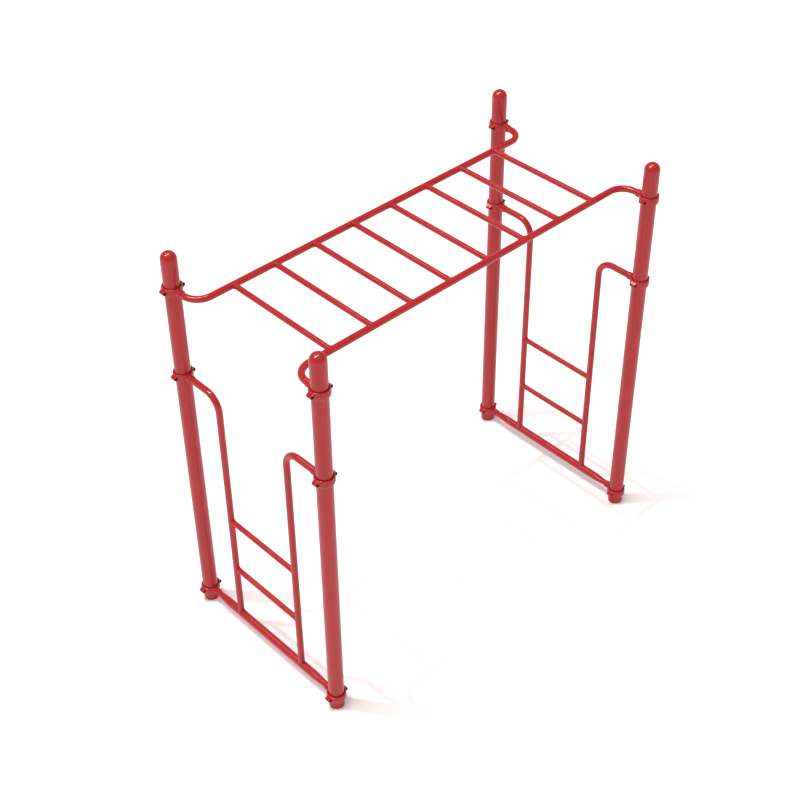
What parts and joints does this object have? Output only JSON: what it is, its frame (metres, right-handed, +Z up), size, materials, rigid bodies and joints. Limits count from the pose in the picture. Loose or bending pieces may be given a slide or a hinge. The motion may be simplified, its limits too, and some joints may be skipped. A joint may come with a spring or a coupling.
{
  "type": "monkey bars",
  "caption": "Free-standing monkey bars: overhead ladder with bent rails between round posts, held by bolted clamps, with a climbing ladder at each end.",
  "frame": {"origin": "on the ground, midway between the four posts, at the centre of the bounding box's base", "axes": "+X along the overhead ladder, from the front end to the back end; +Y towards the left-hand posts of a climber who faces +X; +Z up"},
  "size_m": [2.543, 1.256, 2.5001],
  "materials": {
    "post_paint": "glossy red powder coat",
    "tube_paint": "glossy red powder coat",
    "clamp_paint": "glossy red powder coat over a cast surface",
    "cap_paint": "glossy red powder coat over a cast surface",
    "fastener_paint": "dark red coated steel"
  },
  "bodies": {
    "root": {"base_rail_back": "tube_paint", "base_rail_front": "tube_paint", "clamp_bolts_base": "fastener_paint", "clamp_bolts_middle": "fastener_paint", "clamp_bolts_top": "fastener_paint", "clamp_nuts_base": "fastener_paint", "clamp_nuts_middle": "fastener_paint", "clamp_nuts_top": "fastener_paint", "clamp_outer_half_base_back_left": "clamp_paint", "clamp_outer_half_base_back_right": "clamp_paint", "clamp_outer_half_base_front_left": "clamp_paint", "clamp_outer_half_base_front_right": "clamp_paint", "clamp_outer_half_middle_back_left": "clamp_paint", "clamp_outer_half_middle_back_right": "clamp_paint", "clamp_outer_half_middle_front_left": "clamp_paint", "clamp_outer_half_middle_front_right": "clamp_paint", "clamp_outer_half_top_back_left": "clamp_paint", "clamp_outer_half_top_back_right": "clamp_paint", "clamp_outer_half_top_front_left": "clamp_paint", "clamp_outer_half_top_front_right": "clamp_paint", "clamp_tube_half_base_back_left": "clamp_paint", "clamp_tube_half_base_back_right": "clamp_paint", "clamp_tube_half_base_front_left": "clamp_paint", "clamp_tube_half_base_front_right": "clamp_paint", "clamp_tube_half_middle_back_left": "clamp_paint", "clamp_tube_half_middle_back_right": "clamp_paint", "clamp_tube_half_middle_front_left": "clamp_paint", "clamp_tube_half_middle_front_right": "clamp_paint", "clamp_tube_half_top_back_left": "clamp_paint", "clamp_tube_half_top_back_right": "clamp_paint", "clamp_tube_half_top_front_left": "clamp_paint", "clamp_tube_half_top_front_right": "clamp_paint", "dome_cap_back_left": "cap_paint", "dome_cap_back_right": "cap_paint", "dome_cap_front_left": "cap_paint", "dome_cap_front_right": "cap_paint", "end_rung_high_back": "tube_paint", "end_rung_high_front": "tube_paint", "end_rung_low_back": "tube_paint", "end_rung_low_front": "tube_paint", "overhead_rail_left": "tube_paint", "overhead_rail_right": "tube_paint", "overhead_rung_1": "tube_paint", "overhead_rung_2": "tube_paint", "overhead_rung_3": "tube_paint", "overhead_rung_4": "tube_paint", "overhead_rung_5": "tube_paint", "overhead_rung_6": "tube_paint", "overhead_rung_7": "tube_paint", "overhead_rung_8": "tube_paint", "post_back_left": "post_paint", "post_back_right": "post_paint", "post_front_left": "post_paint", "post_front_right": "post_paint", "tube_rivets": "fastener_paint", "upright_back_left": "tube_paint", "upright_back_right": "tube_paint", "upright_front_left": "tube_paint", "upright_front_right": "tube_paint"}
  },
  "joints": []
}
